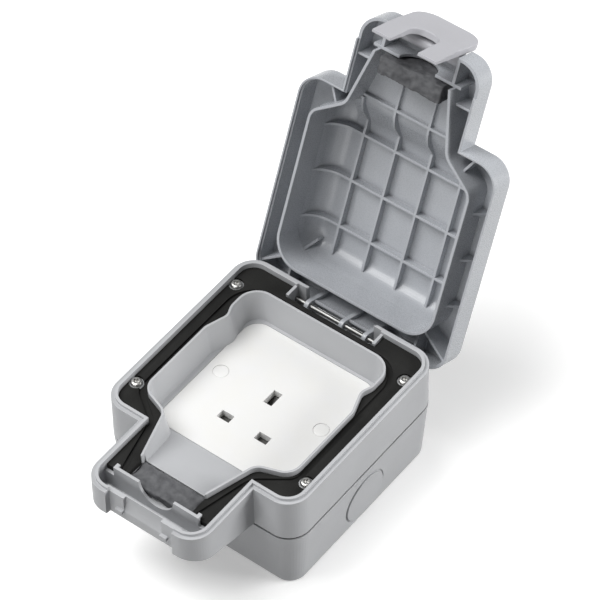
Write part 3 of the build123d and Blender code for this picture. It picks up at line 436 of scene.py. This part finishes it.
def round_edges(source, name, edge_round):
    """A copy with rounded edges in place of a CAD solid of the housing."""
    piece = copy_to_rework(source, name, "housing")
    bpy.ops.mesh.dissolve_limited(angle_limit=flat_angle)
    bpy.ops.mesh.select_all(action="DESELECT")
    bpy.ops.mesh.select_mode(type="EDGE")
    bpy.ops.mesh.edges_select_sharp(sharpness=sharp_angle)
    bpy.ops.mesh.bevel(offset=edge_round, segments=3, affect="EDGES", clamp_overlap=True)
    bpy.ops.object.mode_set(mode="OBJECT")
    bpy.ops.object.shade_smooth_by_angle(angle=smooth_angle)
    print(name, len(piece.data.polygons), "faces")


round_edges("lid_seal", "lid_gasket", 0.0004)
round_edges("box_seal", "box_gasket", 0.0003)

# %% [markdown]
# ## Screw plugs
# Two white plugs hide the screws that hold the socket front. They are pressed in flush, and only
# the soft edge of each shows, as a faint ring on the plate. A painted ring would look flat from the
# side, so the rim of each plug is rounded like the gaskets.

# %% Two plugs with a soft rim
plug_round = 0.0005
round_edges("screw_cap_left", "left_plug", plug_round)
round_edges("screw_cap_right", "right_plug", plug_round)

# %% [markdown]
# ## Lid: how it is drawn
# The lid is one thin moulding, stiffened by ribs on its inside, and some of them are curved where
# the CAD lid has plain webs. The whole lid could be drawn afresh, but its lip and hinge have to fit
# the other pieces exactly. So the curved parts are drawn on the closed lid, where every face is
# square, Booleans trade them for the webs on a copy of the CAD lid, and the copy is turned open
# about the hinge.

# %% The hinge turn between the closed and the open lid
hinge = next(j for j in frame["record"]["behaviour"]["joints"] if j["name"] == "lid_hinge")
hinge_place = Matrix.Translation(hinge["pos_m"])
lid_swing = Matrix.Rotation(-math.radians(hinge["range_deg"][1]), 4, "X")
open_turn = hinge_place @ lid_swing @ hinge_place.inverted()
print("the lid opens by", hinge["range_deg"][1], "degrees")

# %% Blocks that bite into the lid, and slices of them
weld = 0.0004


def block(low, high):
    """A box between two corners."""
    bpy.ops.object.select_all(action="DESELECT")
    bpy.ops.mesh.primitive_cube_add(size=1.0)
    piece = bpy.context.object
    piece.location = [(a + b) / 2 for a, b in zip(low, high)]
    piece.scale = [b - a for a, b in zip(low, high)]
    bpy.ops.object.transform_apply()
    return piece


def slice_off(piece, place, normal):
    """Cut a piece at a plane, and take away the side that the normal points to."""
    bpy.context.view_layer.objects.active = piece
    bpy.ops.object.mode_set(mode="EDIT")
    bpy.ops.mesh.select_all(action="SELECT")
    plane = Vector(normal).normalized()
    bpy.ops.mesh.bisect(plane_co=place, plane_no=plane, clear_outer=True, use_fill=True)
    bpy.ops.object.mode_set(mode="OBJECT")


print("added pieces reach", weld * 1000, "mm into the lid")


# %% Boolean of a piece with a tool
def combine(piece, tool, operation):
    """Apply a Boolean of a piece with a closed tool, and remove the tool."""
    modifier = piece.modifiers.new("combine", "BOOLEAN")
    modifier.operation = operation
    modifier.solver = "EXACT"
    modifier.object = tool
    bpy.context.view_layer.objects.active = piece
    bpy.ops.object.modifier_apply(modifier="combine")
    bpy.data.objects.remove(tool)


def join(pieces):
    """Join separate pieces, which must not overlap, into one tool."""
    bpy.ops.object.select_all(action="DESELECT")
    for piece in pieces:
        piece.select_set(True)
    bpy.context.view_layer.objects.active = pieces[0]
    bpy.ops.object.join()
    return pieces[0]


print("Booleans use the exact solver")

# %% [markdown]
# ## Lid: ribs and buttresses
# Inside the dome the cross ribs don't stop short at the side walls: each climbs the wall in a
# hollow curve, and one more stands on the slant in each rear corner. Outside the lip, low
# triangular buttresses stand in line with the ribs. Each could be an outline that is drawn and
# extruded. A block that a cylinder hollows, or that a plane slices, gives the same plate from
# fewer numbers.

# %% Ribs that climb the dome's side walls
rib_rows = (0.0232, -0.0025, -0.0282)
rib_half_thickness = 0.00065
rib_edge = 0.0851
rib_root = rib_edge + 0.0009
dome_wall = 0.0459
climb_radius = 0.012


def climbing_rib(side, row, root):
    """The hollow-curved end of one cross rib, from its root in the roof up the wall on one side."""
    inner = dome_wall - climb_radius
    x_low, x_high = sorted((side * inner, side * dome_wall))
    low = (x_low, row - rib_half_thickness, rib_edge - climb_radius)
    piece = block(low, (x_high, row + rib_half_thickness, root))
    bpy.ops.mesh.primitive_cylinder_add(
        vertices=128,
        radius=climb_radius,
        depth=8 * rib_half_thickness,
        location=(side * inner, row, rib_edge - climb_radius),
        rotation=(math.pi / 2, 0, 0),
    )
    combine(piece, bpy.context.object, "DIFFERENCE")
    return piece


print(2 * len(rib_rows), "climbing ribs, hollowed to", climb_radius * 1000, "mm")

# %% Ribs that climb the rear corners
dome_floor = 0.0896
corner_middle = (0.0335, 0.0296)
corner_turn = math.radians(58)
corner_rib_start = 0.0397
corner_rib_back = (0.0431, 0.0877)


def corner_rib(side):
    """A climbing rib set on the slant in a rear corner, cut short and kept inside the lid's wall."""
    piece = climbing_rib(side, 0, dome_floor + weld)
    slice_off(piece, (side * corner_rib_start, 0, 0), (-side, 0, 0))
    slice_off(piece, (side * corner_rib_back[0], 0, corner_rib_back[1]), (side, 0, 1))
    swing = Matrix.Rotation(side * corner_turn, 4, "Z")
    corner = Matrix.Translation((side * corner_middle[0], corner_middle[1], 0))
    piece.data.transform(corner @ swing @ Matrix.Translation((-side * corner_middle[0], 0, 0)))
    return piece


print("corner ribs are turned by", round(math.degrees(corner_turn)), "degrees")

# %% Triangular buttresses outside the lip
lip_outside = 0.0469
skirt_inside = 0.0554
shelf = 0.0768
buttress_tip = 0.0684
buttress_foot = 0.0532
buttress_half_thickness = 0.0006


def buttress(side, row):
    """One triangular plate, tallest at the lip, that runs out on the shelf."""
    x_low, x_high = sorted((side * (lip_outside - weld), side * buttress_foot))
    low = (x_low, row - buttress_half_thickness, buttress_tip)
    piece = block(low, (x_high, row + buttress_half_thickness, shelf + weld))
    slope = (side * (shelf - buttress_tip), 0, lip_outside - buttress_foot)
    slice_off(piece, (side * lip_outside, row, buttress_tip), slope)
    return piece


print("buttresses are", round((shelf - buttress_tip) * 1000, 1), "mm tall at the lip")

# %% [markdown]
# ## Lid: the round fall
# Between the shallow neck and the deep dome the roof falls in an S-shaped slope, and the four
# column ribs bend with it. One swept surface would have to be stitched into the lid. Instead, a
# fan of planes that touch the round a few degrees apart shapes it: wedges of filling build up the
# slope inside the dome, and wedges cut from the neck and from the ribs round their edges.

# %% Where the fall starts and ends
rib_columns = (-0.0284, -0.0097, 0.0097, 0.0284)
fall_half_width = 0.036
fall_start = -0.0545
fall_end = -0.02845
fall_round = 0.014
fall_angles = [math.radians(a) for a in (4, 10, 17, 24, 31, 38)]


def strips(gap):
    """The stretches across the lid between the column ribs, each less a gap at both ends."""
    edges = (-fall_half_width, *rib_columns, fall_half_width)
    return [(low + gap, high - gap) for low, high in zip(edges, edges[1:])]


print("the roof falls by", round((dome_floor - shelf) * 1000, 1), "mm")

# %% Filling inside the dome's front wall
dome_front = -0.0466
dome_round = 0.009
fill_in_wall = 0.0002
fill_in_roof = 0.0008
fill_short_of_end = 0.0007


def dome_fill(x_low, x_high):
    """A block inside the dome's front wall and roof, with the round edge between them."""
    low = (x_low, dome_front - fill_in_wall, shelf - weld)
    high = (x_high, fall_end - fill_short_of_end, dome_floor + fill_in_roof)
    piece = block(low, high)
    mesh = piece.data
    for part in (*mesh.vertices, *mesh.edges, *mesh.polygons):
        part.select = False
    for edge in mesh.edges:
        ends = [mesh.vertices[v].co for v in edge.vertices]
        edge.select = all(end.y < low[1] + weld and end.z > high[2] - weld for end in ends)
    bpy.context.tool_settings.mesh_select_mode = (False, True, False)
    bpy.ops.object.mode_set(mode="EDIT")
    bpy.ops.mesh.bevel(offset=dome_round, segments=6, affect="EDGES")
    bpy.ops.object.mode_set(mode="OBJECT")
    return piece


def fall_fill(x_low, x_high, angle):
    """A wedge of the fall, over a plane that touches its round into the dome's floor."""
    piece = dome_fill(x_low, x_high)
    touch = (0, fall_end - fall_round * math.sin(angle), dome_floor - fall_round * (1 - math.cos(angle)))
    slice_off(piece, touch, (0, math.sin(angle), -math.cos(angle)))
    return piece


print("the filling follows the dome's round of", dome_round * 1000, "mm")

# %% Wedges off the neck's edge
neck_end = -0.0533
neck_cut_depth = 0.004
lip_shoulder_place = (0.0460, -0.0395)
lip_shoulder_normal = (0.595, -0.803)
skin = 0.00002


def neck_cut(x_low, x_high, angle):
    """A wedge off the neck's end, under a plane that touches its round, kept inside the lip."""
    piece = block((x_low, neck_end, shelf - skin), (x_high, dome_front + weld, shelf + neck_cut_depth))
    touch = (0, fall_start + fall_round * math.sin(angle), shelf + fall_round * (1 - math.cos(angle)))
    slice_off(piece, touch, (0, -math.sin(angle), math.cos(angle)))
    for side in (-1, 1):
        normal = (side * lip_shoulder_normal[0], lip_shoulder_normal[1], 0)
        slice_off(piece, (side * lip_shoulder_place[0], lip_shoulder_place[1], 0), normal)
    return piece


print("the neck's edge is rounded to", fall_round * 1000, "mm")

# %% The bend of the column ribs
neck_rib_edge = 0.0745
rib_bend = 0.020
rib_cut_half_width = 1.5 * rib_half_thickness
ramp_run = 0.010


def rib_cut(column, angle):
    """A wedge off the bend of a column rib, under a plane that touches its round."""
    low = (column - rib_cut_half_width, fall_start + weld, neck_rib_edge - weld)
    piece = block(low, (column + rib_cut_half_width, dome_front + dome_round, rib_edge))
    touch = (0, fall_start + rib_bend * math.sin(angle), neck_rib_edge + rib_bend * (1 - math.cos(angle)))
    slice_off(piece, touch, (0, -math.sin(angle), math.cos(angle)))
    return piece


def column_ramp(column):
    """The sloping foot of an outer column rib."""
    piece = dome_fill(column - rib_half_thickness, column + rib_half_thickness)
    slice_off(piece, (0, dome_front, neck_rib_edge), (0, rib_edge - neck_rib_edge, -ramp_run))
    return piece


print(len(rib_columns), "column ribs bend to", rib_bend * 1000, "mm")

# %% [markdown]
# ## Lid: the trade
# On the real lid all of this is one skin, with no seam between a rib and the wall. Loose plates
# pushed into the lid would look the same from afar, but leave hidden faces behind. A Boolean on a
# copy of the lid melts them together. Pieces that overlap each other can't share one tool, so the
# webs, the ribs, the neck ribs and each wedge of the fall take their turn.

# %% Take the straight webs out of a closed copy of the lid
web_rows = (0.02599, -0.00103, -0.02599)
web_half_room = 0.0009
web_start = 0.0655
pad_wall_low = (-0.0200, -0.0711, 0.0595)
pad_wall_high = (0.0200, -0.0694, shelf - skin)
lid_shell = copy_to_rework("lid", "lid_shell", "lid")
bpy.ops.object.mode_set(mode="OBJECT")
lid_shell.data.transform(open_turn.inverted())
webs = []
for side in (-1, 1):
    x_low, x_high = sorted((side * (lip_outside + skin), side * (skirt_inside - skin)))
    for row in web_rows:
        low = (x_low, row - web_half_room, web_start)
        webs.append(block(low, (x_high, row + web_half_room, shelf - skin)))
webs.append(block(pad_wall_low, pad_wall_high))
combine(lid_shell, join(webs), "DIFFERENCE")
print("without webs", len(lid_shell.data.polygons), "faces")

# %% Add the climbing ribs, buttresses and ramps
additions = []
for side in (-1, 1):
    additions += [climbing_rib(side, row, rib_root) for row in rib_rows]
    additions += [buttress(side, row) for row in rib_rows]
additions += [column_ramp(rib_columns[0]), column_ramp(rib_columns[-1])]
additions += [corner_rib(-1), corner_rib(1)]
combine(lid_shell, join(additions), "UNION")
print("with ribs", len(lid_shell.data.polygons), "faces")

# %% Carry the column ribs on into the neck
outer_run = (-0.0526, -0.0440)
inner_run = (-0.0765, -0.0693)
neck_ribs = []
for column, (front, back) in zip(rib_columns, (outer_run, inner_run, inner_run, outer_run)):
    low = (column - rib_half_thickness, front, neck_rib_edge)
    neck_ribs.append(block(low, (column + rib_half_thickness, back, shelf + weld)))
combine(lid_shell, join(neck_ribs), "UNION")
print("with neck ribs", len(lid_shell.data.polygons), "faces")

# %% Shape the round fall
fill_in_rib = 0.0001
for angle in fall_angles:
    fills = [fall_fill(low, high, angle) for low, high in strips(rib_half_thickness - fill_in_rib)]
    combine(lid_shell, join(fills), "UNION")
for angle in fall_angles[:-1]:
    neck_cuts = [neck_cut(low, high, angle) for low, high in strips(rib_half_thickness)]
    combine(lid_shell, join(neck_cuts), "DIFFERENCE")
    rib_cuts = [rib_cut(column, angle) for column in rib_columns]
    combine(lid_shell, join(rib_cuts), "DIFFERENCE")
print("with the fall", len(lid_shell.data.polygons), "faces")

# %% Turn the lid open again
lid_shell.data.transform(open_turn)
lid_shell.data.shade_flat()
print("lid shell", len(lid_shell.data.polygons), "faces")

# %% [markdown]
# ## Cable pads
# Two blocks of soft sponge close round the cable where it leaves through the tongue. Cut
# sponge has rounded corners and never a flat face. A cloth simulation would suit a sewn
# cushion, but a solid block only needs an even fine mesh, a smoothing that pulls in its corners
# and a shallow cloud displacement for its lumps, so three modifiers make it.


# %% Two sponge blocks
def sponge(source, name, body, cut_place=None, cut_normal=None):
    """A lumpy sponge block in place of a CAD pad, cut short at a plane where one is given."""
    piece = copy_to_rework(source, name, body)
    if cut_place:
        bpy.ops.mesh.bisect(plane_co=cut_place, plane_no=cut_normal, clear_outer=True, use_fill=True)
    bpy.ops.object.mode_set(mode="OBJECT")
    cells = piece.modifiers.new("cells", "REMESH")
    cells.mode = "VOXEL"
    cells.voxel_size = 0.0007
    rounding = piece.modifiers.new("rounding", "SMOOTH")
    rounding.factor = 0.5
    rounding.iterations = 14
    lumps = piece.modifiers.new("lumps", "DISPLACE")
    lumps.texture = bpy.data.textures.new(name + "_lumps", "CLOUDS")
    lumps.texture.noise_scale = 0.004
    lumps.strength = 0.0017
    lumps.mid_level = 0.8
    for modifier in ("cells", "rounding", "lumps"):
        bpy.ops.object.modifier_apply(modifier=modifier)
    bpy.ops.object.shade_smooth()
    print(name, len(piece.data.polygons), "faces")


upper_end = open_turn @ Vector((0, -0.0745, 0.07))
upper_end_normal = open_turn.to_3x3() @ Vector((0, 1, 0))
sponge("lower_cable_pad", "lower_sponge", "housing")
sponge("upper_cable_pad", "upper_sponge", "lid", upper_end, upper_end_normal)
